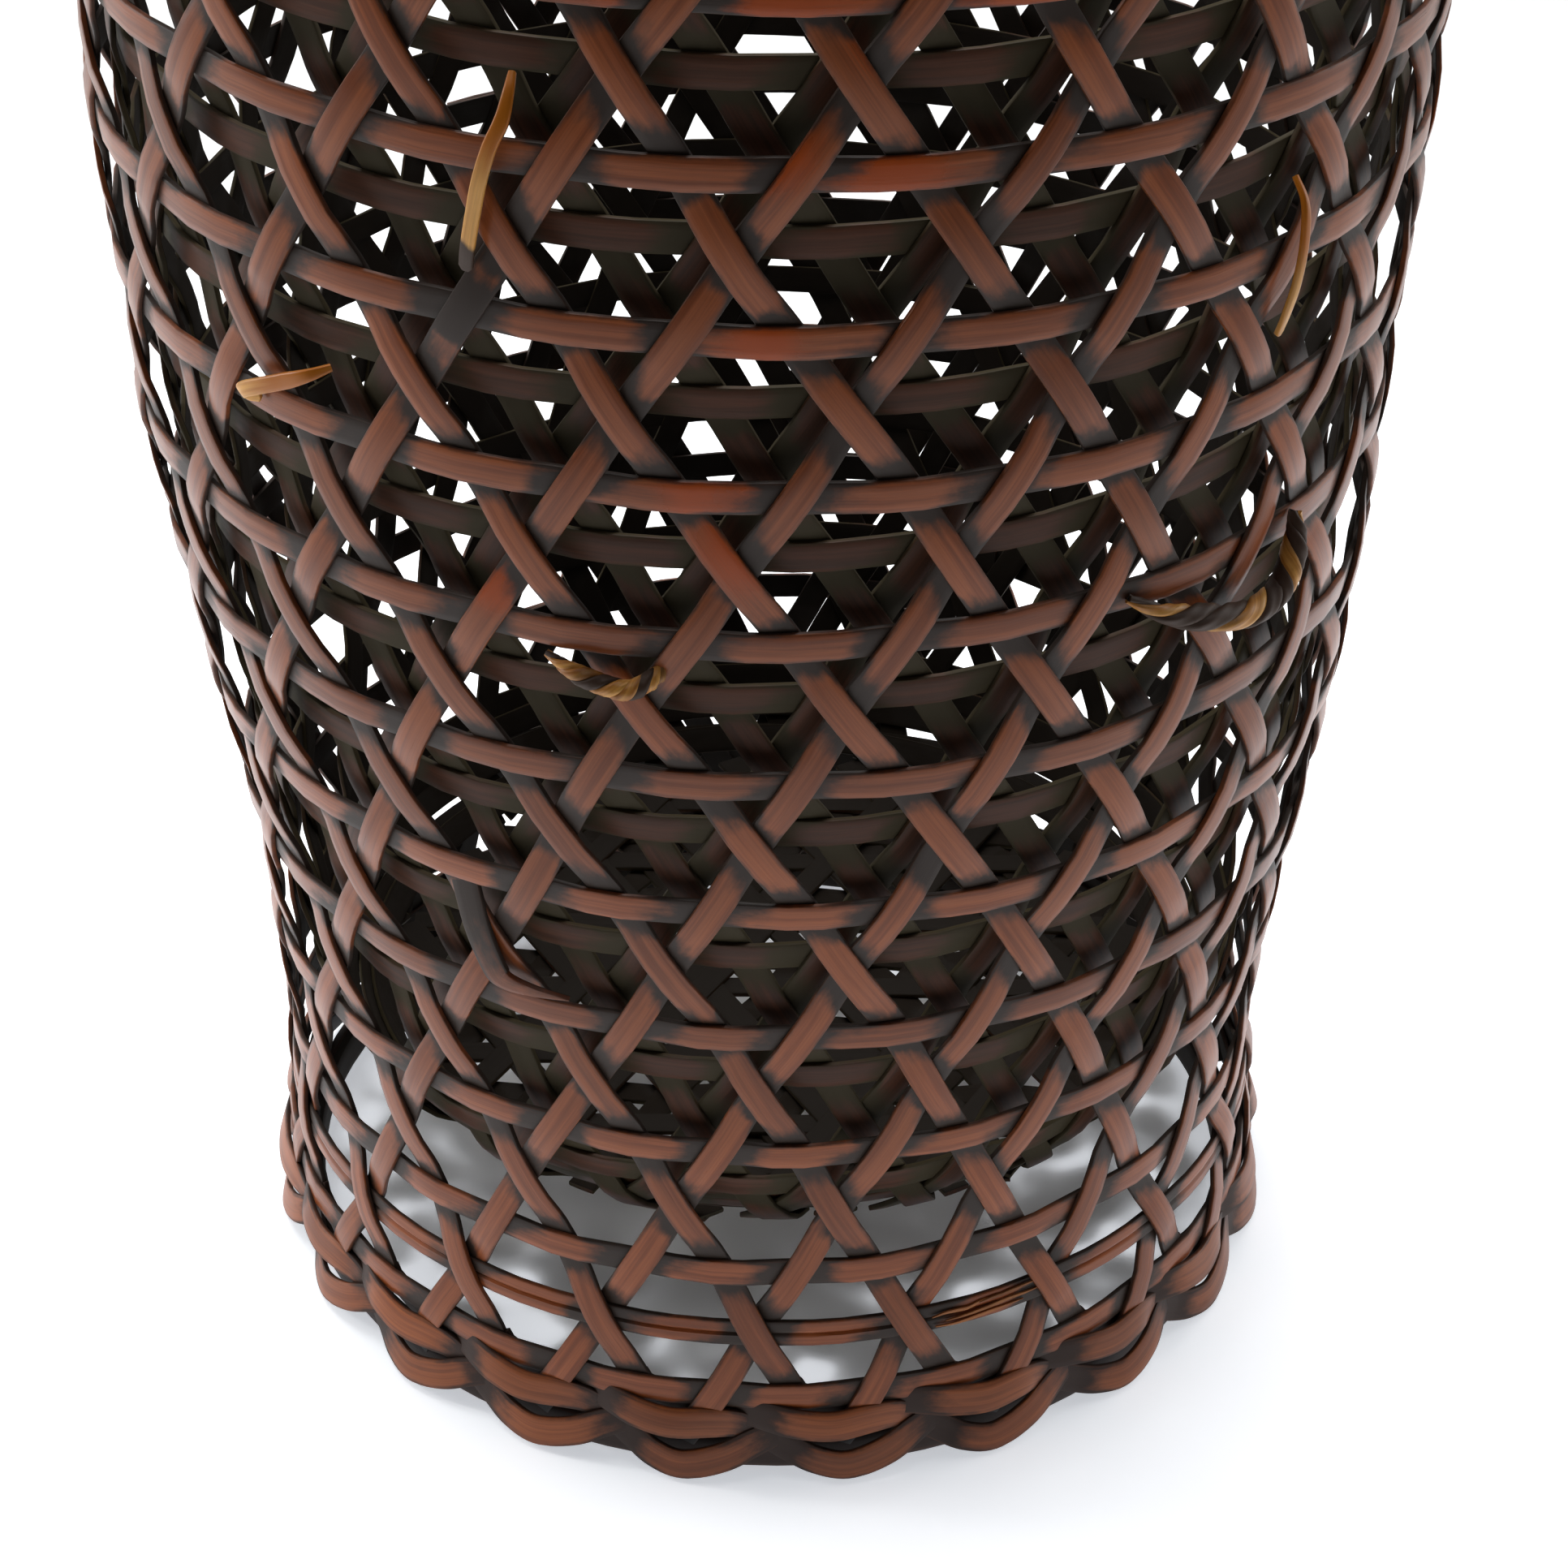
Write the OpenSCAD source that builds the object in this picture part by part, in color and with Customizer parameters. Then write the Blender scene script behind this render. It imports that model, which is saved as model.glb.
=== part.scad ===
// Double-walled basket of split bamboo in an open hexagon weave, on a plaited foot.
// Millimetres. The origin is at the middle of the foot's underside and +Z is up.
// Angles round the basket start at the front, -Y, and grow towards +X.

/* [Outline] */
// Height from the floor to the top of the rim
basket_height = 345; // [290:1:420]
// Radius of the wall at the floor
foot_radius = 98; // [81:0.1:118]
// Radius of the wall at the waist
waist_radius = 94.3; // [78:0.1:114]
// Height of the waist
waist_height = 45; // [36:1:56]
// Radius of the lower wall, where it opens out
lower_radius = 99.4; // [83:0.1:120]
// Height of the lower wall's radius
lower_height = 100; // [82:1:122]
// Radius of the wall halfway up
middle_radius = 107.5; // [89:0.1:129]
// Height of the middle radius
middle_height = 160; // [132:1:194]
// Radius of the upper wall
upper_radius = 112.6; // [93:0.1:136]
// Height of the upper radius
upper_height = 240; // [200:1:270]
// Radius of the wall at the rim
rim_radius = 116.5; // [97:0.1:140]

/* [Weave] */
// Strands that lean each way
strand_count = 21; // [18:3:27]
// Hoops woven into the outer wall
outer_rows = 12; // [10:1:14]
// Height of the lowest hoop's middle
first_row_height = 20; // [16:1:26]
// Depth of the top hoop's middle below the rim
top_row_drop = 22.5; // [19:0.5:28]
// How far the middle rows stand above an even spacing
row_swell = 2.5; // [0:0.5:4]
// Turn of the outer weave about the axis, in degrees
outer_turn = 2.8; // [0:0.1:17]
// Turn of the inner weave about the axis, in degrees
inner_turn = 13.4; // [0:0.1:17]
// Width of a strip
strip_width = 5.4; // [4:0.1:6.6]
// Thickness of a strip
strip_thickness = 1; // [0.8:0.05:1.2]
// Clearance between strips where they cross
crossing_clearance = 0.15; // [0.1:0.01:0.3]
// How far an outer strand bows away from what it crosses
strand_bow = 0.5; // [0.3:0.05:0.6]
// Width of the groove along the split hoop above the foot
groove_width = 0.7; // [0.4:0.1:1]
// Depth of that groove
groove_depth = 0.35; // [0.2:0.05:0.5]

/* [Inner basket] */
// Distance between the middles of the two walls
wall_gap = 5; // [4.1:0.1:7]
// How far an inner hoop lies below the outer hoop beside it
inner_drop = 13; // [10:0.5:16]
// Lowest outer row that has an inner hoop beside it
inner_first_row = 2; // [2:1:3]
// Height of the bottom's underside
base_height = 42; // [36:1:46]
// How far the bottom's edge is drawn in from the wall
base_inset = 24; // [16:0.5:28]
// Height of the rounded corner between bottom and wall
corner_height = 35; // [28:1:38]
// Strips that cross the bottom in each of three directions
base_strips = 7; // [5:1:7]
// Spacing of those strips
base_spacing = 21.5; // [19:0.5:22]

/* [Foot] */
// Height of the braid's middle
braid_height = 7; // [6:0.5:8]
// Width of a braid strand
braid_strand_width = 4; // [3:0.1:4.2]
// Thickness of a braid strand
braid_strand_thickness = 1.3; // [1:0.05:1.6]
// Width of the core ring that the braid stands round
foot_core_width = 4; // [3:0.5:6]
// Height of the core ring
foot_core_height = 8; // [6:0.5:9]

/* [Rim] */
// Height of the two rim hoops
rim_hoop_height = 12; // [10:0.5:14]
// Thickness of the two rim hoops
rim_hoop_thickness = 1.8; // [1.4:0.1:2.4]
// Height of the core between them
rim_core_height = 4; // [3:0.5:5]
// Width of one turn of the lashing
lashing_width = 3.6; // [2.8:0.1:4]
// Thickness of the lashing
lashing_thickness = 0.9; // [0.7:0.1:1.1]
// Distance of a pair's turns from the middle of their opening, as a share of the pitch
lashing_spread = 0.14; // [0.12:0.01:0.18]

/* [Ties] */
// Width of the long rattan tie
long_tie_width = 2.3; // [1.6:0.1:3]
// Width of the thin rattan tie
thin_tie_width = 1.7; // [1.2:0.1:2.4]
// Width of the short folded tie
short_tie_width = 2.6; // [1.8:0.1:3.2]
// Thickness of the flat ties
tie_thickness = 0.9; // [0.7:0.1:1.2]
// Diameter of the small twisted cord
small_cord_diameter = 3.4; // [2.4:0.1:4]
// Diameter of the large twisted cord
large_cord_diameter = 4.6; // [3.4:0.1:5.6]

/* [Hidden] */
hoop_facets = 120;
base_facets = 96;
lean_step = 1;
pitch_angle = 360 / strand_count;
row_pitch = (basket_height - top_row_drop - first_row_height) / (outer_rows - 1);
swell_rows = outer_rows - 4;
lay = strip_thickness + crossing_clearance;
hoop_off = strip_thickness + strand_bow;
cross_off = strip_thickness / 2 + strand_bow;
outline = [
    [0, foot_radius],
    [waist_height, waist_radius],
    [lower_height, lower_radius],
    [middle_height, middle_radius],
    [upper_height, upper_radius],
    [basket_height, rim_radius]
];
corner_top = base_height + corner_height;
base_level = base_height + 3 * lay;
base_radius = inner_r(base_level);
// The braid: one wave of a strand spans three crossing pitches. A strand swings so far up and down
// that it clears the strand beside it, and in and out by its own thickness.
braid_waves = strand_count / 3;
rings_per_wave = 24;
braid_swing = 1.05 * braid_strand_width + crossing_clearance;
braid_depth = braid_strand_thickness + crossing_clearance;
braid_r = wall_r(braid_height);
groove_row = 0.5;
// Rows by which the outer strands run on below their lowest hoop
foot_rows = 0.18;
// Rows over which an inner strand runs from its end at the bottom up to the first inner hoop,
// and the shares of that run at which it is bent
turn_in_rows = 0.85;
turn_in_shares = [0, 0.25, 0.5, 0.75];
// Pitches from a right strand's start to the middle of an opening at the rim
opening_pitches = (outer_rows - 1.5) / 2 + 0.5;
// Shift of the bottom's layers, as a share of their spacing
layer_shift = 1 / 6;
rim_top = basket_height - lashing_thickness;
rim_base = rim_top - rim_hoop_height;
rim_middle = rim_top - rim_hoop_height / 2;
rim_wall_r = wall_r(rim_middle);
rim_out = rim_wall_r + hoop_off + strip_thickness / 2 + crossing_clearance;
rim_in = rim_wall_r - wall_gap - lay - strip_thickness / 2 - crossing_clearance;
strand_top = rim_top - rim_core_height - crossing_clearance;
// Each tie's route: angle, row and stand-off from the middle of the outer wall
long_tie_route = [[-17, 9.7, -1], [-18.5, 9.45, 3], [-20, 9.2, 5], [-21.4, 9, 5.2], [-22.4, 8.65, 4.2],
    [-23, 8.45, 2.5], [-23.2, 8.25, -1]];
thin_tie_route = [[42.5, 8.7, -1], [43.8, 8.45, 2.6], [44.6, 8.2, 3.8], [44.8, 8, 4], [44.2, 7.7, 3],
    [43.2, 7.45, -1]];
short_tie_route = [[-35, 7.45, -1], [-38, 7.35, 2.4], [-42, 7.2, 3], [-46, 7.1, 3.4], [-47.5, 7, 2],
    [-46.5, 6.9, -1]];
small_cord_route = [[-19, 5.8, 1], [-17, 5.7, 3], [-14.5, 5.65, 4], [-12, 5.6, 4.2], [-9.8, 5.65, 4],
    [-8, 5.7, 3], [-7, 5.8, 1]];
large_cord_route = [[30, 5.8, 1], [33, 5.7, 3.6], [37, 5.6, 4.6], [41, 5.55, 4.8], [45, 5.5, 4.8],
    [48.5, 5.55, 4.6], [50.6, 5.65, 4], [51, 5.8, 2]];

function two_digits(n) = n < 10 ? str("0", n) : str(n);
function outer_name(row) = str("outer_hoop_", two_digits(row + 1));
function inner_name(row) = str("inner_hoop_", two_digits(row - inner_first_row + 1));
function braid_name(n) = str("foot_braid_", n + 1);
function base_name(n) = str("base_strips_", n + 1);

// The wall's radius: a smooth curve through the outline's points
function last_index() = len(outline) - 1;
function outline_slope(i) =
    let (a = max(i - 1, 0), b = min(i + 1, last_index()))
    (outline[b][1] - outline[a][1]) / (outline[b][0] - outline[a][0]);
function span_at(z) = max([for (i = [0:last_index() - 1]) if (i == 0 || z >= outline[i][0]) i]);
function wall_r(z) =
    let (
        i = span_at(z),
        rise = outline[i + 1][0] - outline[i][0],
        u = (z - outline[i][0]) / rise,
        keep = (1 + 2 * u) * pow(1 - u, 2),
        lead = u * pow(1 - u, 2) * rise,
        tail = pow(u, 2) * (u - 1) * rise
    )
    keep * outline[i][1] + (1 - keep) * outline[i + 1][1]
        + lead * outline_slope(i) + tail * outline_slope(i + 1);
function corner_share(z) = min(max((corner_top - z) / corner_height, 0), 1);
function inner_r(z) = wall_r(z) - wall_gap - base_inset * (1 - sqrt(1 - pow(corner_share(z), 2)));
function outer_lean(z) = atan2(wall_r(z + lean_step / 2) - wall_r(z - lean_step / 2), lean_step);
function inner_lean(z) = atan2(inner_r(z + lean_step / 2) - inner_r(z - lean_step / 2), lean_step);
function row_z(row) = first_row_height + row_pitch * row + row_swell * sin(180 * (row - 1) / swell_rows);
function inner_row_z(row) = row_z(row) - inner_drop;

// A place on a wall: a = angle, z = height, r = radius there, s = the wall's lean, off = stand-off
function place(a, z, r, s, off) =
    [(r + off * cos(s)) * sin(a), -(r + off * cos(s)) * cos(a), z - off * sin(s)];
function outward(a, s) = [cos(s) * sin(a), -cos(s) * cos(a), -sin(s)];
function unit(v) = v / norm(v);
function heading(path, i) = unit(path[min(i + 1, len(path) - 1)] - path[max(i - 1, 0)]);

// A four-sided ring of a flat strip, and a many-sided ring of a round cord
function strip_ring(c, along, out, w, t) =
    let (side = unit(cross(out, along)) * w / 2, up = unit(cross(along, side)) * t / 2)
    [c + side + up, c + side - up, c - side - up, c - side + up];
function cord_ring(c, along, out, d, sides) =
    let (side = unit(cross(out, along)) * d / 2, up = unit(cross(along, side)) * d / 2)
    [for (k = [0:sides - 1]) c + side * cos(360 * k / sides) - up * sin(360 * k / sides)];

// Closed skin over a row of rings, each ring with the same number of points
module skin(rings, joined = false) {
    sides = len(rings[0]);
    count = len(rings);
    last = joined ? count - 1 : count - 2;
    walls = [for (k = [0:last]) for (i = [0:sides - 1])
        let (a = k * sides + i, b = k * sides + (i + 1) % sides, up = ((k + 1) % count - k) * sides)
        each i < sides / 2 ? [[a, b, b + up], [a, b + up, a + up]] : [[a, b, a + up], [b, b + up, a + up]]];
    foot = [for (i = [1:sides - 2]) [0, i + 1, i]];
    head = [for (i = [1:sides - 2]) [for (j = [0, i, i + 1]) (count - 1) * sides + j]];
    polyhedron([for (ring = rings) each ring], joined ? walls : concat(walls, foot, head));
}

module strip_along(path, outs, w, t) {
    skin([for (i = [0:len(path) - 1]) strip_ring(path[i], heading(path, i), outs[i], w, t)]);
}

// A flat hoop that follows the lean of its wall
module hoop_band(r, z, s, w, t) {
    rotate_extrude($fn = hoop_facets)
        translate([r, z])
            rotate(-s)
                square([t, w], center = true);
}

module outer_hoop(row) {
    z = row_z(row);
    color("#74463a") hoop_band(wall_r(z), z, outer_lean(z), strip_width, strip_thickness);
}

module inner_hoop(row) {
    z = inner_row_z(row);
    color("#3f352e") hoop_band(inner_r(z), z, inner_lean(z), strip_width, strip_thickness);
}

// The hoop between the two lowest rows, split along its outer face
module grooved_hoop() {
    z = row_z(groove_row);
    half_t = strip_thickness / 2;
    half_w = strip_width / 2;
    color("#7d4934")
        rotate_extrude($fn = hoop_facets)
            translate([wall_r(z), z])
                rotate(-outer_lean(z))
                    polygon([[-half_t, -half_w], [half_t, -half_w], [half_t, -groove_width / 2],
                        [half_t - groove_depth, 0], [half_t, groove_width / 2], [half_t, half_w],
                        [-half_t, half_w]]);
}

// Outer strands: hand is 1 for those that lean right as they rise, -1 for those that lean left.
// Right strands go over the hoops and under the left ones, and left strands the other way.
function outer_step_z(m) = m < 0 ? first_row_height - row_pitch * foot_rows : min(row_z(m / 2), strand_top);
function outer_step_off(m, hand) =
    m < 0 ? hand * cross_off
        : m == 2 * groove_row ? -hand * hoop_off : m % 2 == 0 ? hand * hoop_off : -hand * cross_off;
function outer_step_row(m) = m < 0 ? -foot_rows : m / 2;
module outer_strands(hand) {
    top_step = 2 * outer_rows - 1;
    steps = [for (m = [-1:top_step]) m];
    color("#6c4237")
        for (i = [0:strand_count - 1]) {
            start = i + (hand > 0 ? 0 : 0.5);
            turns = [for (m = steps) outer_turn + pitch_angle * (start + hand * (outer_step_row(m) - 1) / 2)];
            heights = [for (m = steps) outer_step_z(m)];
            leans = [for (z = heights) outer_lean(z)];
            path = [for (k = [0:len(steps) - 1])
                place(turns[k], heights[k], wall_r(heights[k]), leans[k], outer_step_off(steps[k], hand))];
            outs = [for (k = [0:len(steps) - 1]) outward(turns[k], leans[k])];
            strip_along(path, outs, strip_width, strip_thickness);
        }
}

// Inner strands: right ones outside the inner hoops and left ones inside them
function turn_in_z(share) = base_level + share * (inner_row_z(inner_first_row) - base_level);
function inner_strand_z(row) =
    row < inner_first_row ? turn_in_z(1 - (inner_first_row - row) / turn_in_rows) : inner_row_z(row);
module inner_strands(hand) {
    rows = concat([for (share = turn_in_shares) inner_first_row - turn_in_rows * (1 - share)],
        [for (row = [inner_first_row:outer_rows - 1]) row], [outer_rows - 0.5]);
    color("#3b322b")
        for (i = [0:strand_count - 1]) {
            start = i + (hand > 0 ? 0 : 0.5);
            turns = [for (row = rows) inner_turn + pitch_angle * (start + hand * (row - 1) / 2)];
            heights = [for (row = rows) min(inner_strand_z(row), strand_top)];
            leans = [for (z = heights) inner_lean(z)];
            path = [for (k = [0:len(rows) - 1])
                place(turns[k], heights[k], inner_r(heights[k]), leans[k], hand * lay)];
            outs = [for (k = [0:len(rows) - 1]) outward(turns[k], leans[k])];
            strip_along(path, outs, strip_width, strip_thickness);
        }
}

// The bottom: three layers of straight strips, one sixth of a spacing off centre so that
// no three of them meet at one point, and a hoop that holds their ends
function base_strip_y(i) = (i - (base_strips - 1) / 2 + layer_shift) * base_spacing;
module base_layer(n) {
    level = base_height + n * lay;
    color("#3a312a")
        intersection() {
            translate([0, 0, level])
                cylinder(r = base_radius, h = strip_thickness, $fn = base_facets);
            rotate([0, 0, 120 * n])
                for (i = [0:base_strips - 1])
                    translate([-base_radius, base_strip_y(i) - strip_width / 2, level])
                        cube([2 * base_radius, strip_width, strip_thickness]);
        }
}

module base_hoop() {
    bend_z = turn_in_z(turn_in_shares[1]);
    slope = atan2(inner_r(bend_z) - base_radius, bend_z - base_level);
    color("#342c26")
        hoop_band((base_radius + inner_r(bend_z)) / 2 - 2 * lay * cos(slope),
            (base_level + bend_z) / 2 + 2 * lay * sin(slope), slope, strip_width, strip_thickness);
}

// The plaited foot: three flat strands that weave round a core ring, which stands on the floor
module foot_core() {
    outer_edge = braid_r - braid_depth - braid_strand_thickness / 2 - crossing_clearance;
    color("#5e3a2b")
        rotate_extrude($fn = hoop_facets)
            translate([outer_edge - foot_core_width, 0])
                square([foot_core_width, foot_core_height]);
}

module braid_strand(n) {
    count = braid_waves * rings_per_wave;
    waves = [for (k = [0:count - 1]) 360 * k / rings_per_wave + 120 * n];
    turns = [for (k = [0:count - 1]) outer_turn + 360 * k / count];
    path = [for (k = [0:count - 1])
        place(turns[k], braid_height + braid_swing * sin(waves[k]), braid_r, 0,
            braid_depth * min(max(2 * sin(2 * waves[k]), -1), 1))];
    color("#80492f")
        skin([for (k = [0:count - 1])
            strip_ring(path[k], unit(path[(k + 1) % count] - path[(k + count - 1) % count]),
                outward(turns[k], 0), braid_strand_width, braid_strand_thickness)], joined = true);
}

// The rim: a hoop outside, a hoop inside, a core between them and a lashing over all three
module rim_outer_hoop() {
    color("#74463a")
        rotate_extrude($fn = hoop_facets)
            translate([rim_out, rim_base])
                square([rim_hoop_thickness, rim_hoop_height]);
}

module rim_inner_hoop() {
    color("#4a3a30")
        rotate_extrude($fn = hoop_facets)
            translate([rim_in - rim_hoop_thickness, rim_base])
                square([rim_hoop_thickness, rim_hoop_height]);
}

module rim_core() {
    color("#5a3c30")
        rotate_extrude($fn = hoop_facets)
            translate([rim_in, rim_top - rim_core_height])
                square([rim_out - rim_in, rim_core_height]);
}

module rim_lashing() {
    low = rim_in - rim_hoop_thickness;
    high = rim_out + rim_hoop_thickness;
    color("#b9772f")
        for (i = [0:strand_count - 1])
            for (side = [-1, 1])
                rotate([0, 0, outer_turn + pitch_angle * (i + opening_pitches + side * lashing_spread) - 90])
                    rotate([90, 0, 0])
                        linear_extrude(lashing_width, center = true)
                            difference() {
                                translate([low - lashing_thickness, rim_base - lashing_thickness])
                                    square([high - low + 2 * lashing_thickness,
                                        rim_hoop_height + 2 * lashing_thickness]);
                                translate([low, rim_base])
                                    square([high - low, rim_hoop_height]);
                            }
}

// Rattan ties left round the outer wall
function tie_path(route) =
    [for (p = route) let (z = row_z(p[1])) place(p[0], z, wall_r(z), outer_lean(z), p[2])];
function tie_outs(route) = [for (p = route) outward(p[0], outer_lean(row_z(p[1])))];
module flat_tie(route, w) {
    color("#c78a35") strip_along(tie_path(route), tie_outs(route), w, tie_thickness);
}

module cord_tie(route, d) {
    path = tie_path(route);
    outs = tie_outs(route);
    color("#a8743a") skin([for (i = [0:len(path) - 1]) cord_ring(path[i], heading(path, i), outs[i], d, 8)]);
}

foot_core();
for (n = [0:2]) braid_strand(n);
for (row = [0:outer_rows - 1]) outer_hoop(row);
grooved_hoop();
outer_strands(1);  // outer_right_strands
outer_strands(-1);  // outer_left_strands
base_hoop();
for (n = [0:2]) base_layer(n);
for (row = [inner_first_row:outer_rows - 1]) inner_hoop(row);
inner_strands(1);  // inner_right_strands
inner_strands(-1);  // inner_left_strands
rim_outer_hoop();
rim_inner_hoop();
rim_core();
rim_lashing();
flat_tie(long_tie_route, long_tie_width);  // long_tie
flat_tie(thin_tie_route, thin_tie_width);  // thin_tie
flat_tie(short_tie_route, short_tie_width);  // short_tie
cord_tie(small_cord_route, small_cord_diameter);  // small_cord_tie
cord_tie(large_cord_route, large_cord_diameter);  // large_cord_tie
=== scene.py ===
"""A tall double-walled basket of stained split bamboo, woven in open hexagons on a plaited foot."""

import math

import bpy
import numpy as np
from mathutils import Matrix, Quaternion, Vector


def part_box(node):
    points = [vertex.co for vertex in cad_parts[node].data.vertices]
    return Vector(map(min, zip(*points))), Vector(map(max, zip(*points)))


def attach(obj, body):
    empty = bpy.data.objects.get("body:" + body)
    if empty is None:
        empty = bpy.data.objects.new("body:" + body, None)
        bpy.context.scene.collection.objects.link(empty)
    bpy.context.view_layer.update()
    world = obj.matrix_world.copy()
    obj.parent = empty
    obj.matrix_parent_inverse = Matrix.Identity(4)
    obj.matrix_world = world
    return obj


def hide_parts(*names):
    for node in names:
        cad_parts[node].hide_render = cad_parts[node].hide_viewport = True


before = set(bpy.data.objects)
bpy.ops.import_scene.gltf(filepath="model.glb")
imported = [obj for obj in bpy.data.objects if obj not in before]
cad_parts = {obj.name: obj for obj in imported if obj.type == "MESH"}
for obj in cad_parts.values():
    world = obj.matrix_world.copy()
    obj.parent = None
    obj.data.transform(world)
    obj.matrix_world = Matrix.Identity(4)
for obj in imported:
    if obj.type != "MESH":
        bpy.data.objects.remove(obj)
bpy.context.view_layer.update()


# ---- Camera ------------------------------------------------------------------------------------
# The basket is seen from the front and from above, so close that its rim is outside the view.
# Metres and degrees; the lens and the shift are in Blender's own units.
camera_distance = 0.5871
camera_height = 0.4818
camera_pitch = 33.81
camera_roll = 0.38
camera = bpy.data.objects.new("camera", bpy.data.cameras.new("camera"))
bpy.context.scene.collection.objects.link(camera)
bpy.context.scene.camera = camera
camera.data.sensor_width = 36
camera.data.lens = 84.03
camera.data.shift_x = 0.0079
camera.location = (0, -camera_distance, camera_height)
camera.rotation_mode = "QUATERNION"
camera.rotation_quaternion = (
    Quaternion((1, 0, 0), math.radians(90 - camera_pitch))
    @ Quaternion((0, 0, 1), math.radians(camera_roll))
)


# ---- Floor and light ---------------------------------------------------------------------------
# A sheet of white acrylic that glows round the basket, which is painted light, and is dark under the
# basket, which is painted shadow, with a wide soft light above, a small lamp low on the left and white
# walls. The side that the camera stands on is dimmer.
def colour(code):
    """An sRGB hex value as a linear colour."""
    parts = [int(code[k:k + 2], 16) / 255 for k in (1, 3, 5)]
    return (*[c / 12.92 if c <= 0.04045 else ((c + 0.055) / 1.055) ** 2.4 for c in parts], 1)


def add(tree, kind, inputs=None, **settings):
    """Adds a node with its settings, and gives each input a node, a link or a value."""
    made = tree.nodes.new(kind)
    for key, value in settings.items():
        setattr(made, key, value)
    for socket, value in (inputs or {}).items():
        if isinstance(value, bpy.types.Node):
            value = value.outputs[0]
        if isinstance(value, bpy.types.NodeSocket):
            tree.links.new(value, made.inputs[socket])
        else:
            made.inputs[socket].default_value = value
    return made


bpy.ops.object.select_all(action="DESELECT")
bpy.ops.mesh.primitive_plane_add(size=8, location=(0, 0, 0))
floor = bpy.context.object
floor.name = "floor"
# White acrylic: a matt white that glows round the basket with painted light, and is dim below it with a
# painted shadow that has patches of painted light in it. It reaches the eye as plain white, and sends light
# up into the weave
acrylic = bpy.data.materials.new("white acrylic")
acrylic.use_nodes = True
table = acrylic.node_tree
table_shader = table.nodes["Principled BSDF"]
table_shader.inputs["Roughness"].default_value = 0.9
table_shader.inputs["IOR"].default_value = 1.3
table_shader.inputs["Emission Color"].default_value = colour("#f4f8ff")
# The reach of the painted shadow under the basket, and the size and depth of its patches of painted light
painted_shadow_reach = 0.086
light_patch_scale = 55.0
light_patch_depth = 0.16
painted_glow_course = ((0.055, 0.03), (0.075, 0.12), (0.09, 0.45), (0.1, 0.58), (0.15, 0.66), (0.3, 0.6),
               (0.55, 0.1))
ground = add(table, "ShaderNodeTexCoord").outputs["Object"]
away = add(table, "ShaderNodeVectorMath", {0: ground}, operation="LENGTH").outputs["Value"]
painted_light_patches = add(table, "ShaderNodeTexNoise", {"Vector": ground, "Scale": light_patch_scale, "Detail": 1.0})
painted_light_patches = add(table, "ShaderNodeMath", {0: painted_light_patches, 1: light_patch_depth, 2: -light_patch_depth / 2},
              operation="MULTIPLY_ADD")
under = add(table, "ShaderNodeMapRange", {0: away, 1: painted_shadow_reach + 0.006, 2: painted_shadow_reach - 0.006},
            interpolation_type="SMOOTHSTEP")
painted_light_patches = add(table, "ShaderNodeMath", {0: painted_light_patches, 1: under}, operation="MULTIPLY")
away = add(table, "ShaderNodeMath", {0: away, 1: painted_light_patches}, operation="ADD")
# Painted light: the floor glows, most round the basket and hardly at all under it
painted_glow = add(table, "ShaderNodeFloatCurve", {"Value": away})
for place, strength in painted_glow_course:
    painted_glow.mapping.curves[0].points.new(place, strength)
painted_glow.mapping.curves[0].points[0].location = (0, 0)
painted_glow.mapping.curves[0].points[-1].location = (1, 0)
table.links.new(painted_glow.outputs["Value"], table_shader.inputs["Emission Strength"])
# Below the camera and beyond it the floor is painted grey, a painted shade, so that the varnish reflects
# less
ahead = add(table, "ShaderNodeSeparateXYZ", {0: ground}).outputs["Y"]
nearness = add(table, "ShaderNodeMath", {0: ahead, 1: 1.0}, operation="ADD")
shade = add(table, "ShaderNodeValToRGB", {"Fac": nearness})
shade.color_ramp.elements[0].position = 0.2
shade.color_ramp.elements[0].color = colour("#8a8a8a")
shade.color_ramp.elements[1].position = 0.5
shade.color_ramp.elements[1].color = colour("#f4f5f5")
table.links.new(shade.outputs["Color"], table_shader.inputs["Base Color"])
floor.data.materials.append(acrylic)

world = bpy.data.worlds.new("white walls")
world.use_nodes = True
walls = world.node_tree
direction = add(walls, "ShaderNodeTexCoord").outputs["Generated"]
facing = add(walls, "ShaderNodeSeparateXYZ", {0: direction}).outputs["Y"]
dimming = add(walls, "ShaderNodeMapRange", {0: facing, 1: -0.45, 2: 0.4, 3: 0.04, 4: 0.8},
              interpolation_type="SMOOTHSTEP")
walls.links.new(dimming.outputs["Result"], walls.nodes["Background"].inputs["Strength"])
walls.nodes["Background"].inputs["Color"].default_value = (1, 1, 1, 1)
bpy.context.scene.world = world


def soft_light(name, place, aim, wide, high, power):
    """A soft light at a place, turned to what it lights."""
    lamp = bpy.data.objects.new(name, bpy.data.lights.new(name, "AREA"))
    bpy.context.scene.collection.objects.link(lamp)
    lamp.data.shape = "RECTANGLE"
    lamp.data.size = wide
    lamp.data.size_y = high
    lamp.data.energy = power
    lamp.location = place
    lamp.rotation_mode = "QUATERNION"
    lamp.rotation_quaternion = (Vector(aim) - Vector(place)).to_track_quat("-Z", "Y")


soft_light("overhead", (-0.15, 0.35, 1.0), (0, 0.2, 0), 1.0, 1.0, 9)
soft_light("left lamp", (-1.0, 0.15, 0.55), (0, 0, 0.1), 0.12, 0.12, 2)
soft_light("left panel", (-1.3, 0.3, 0.45), (0, 0, 0.15), 0.7, 1.0, 4)
soft_light("right panel", (1.3, 0.4, 0.45), (0, 0, 0.15), 0.7, 1.0, 4)
bpy.context.scene.view_settings.view_transform = "Standard"
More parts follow.
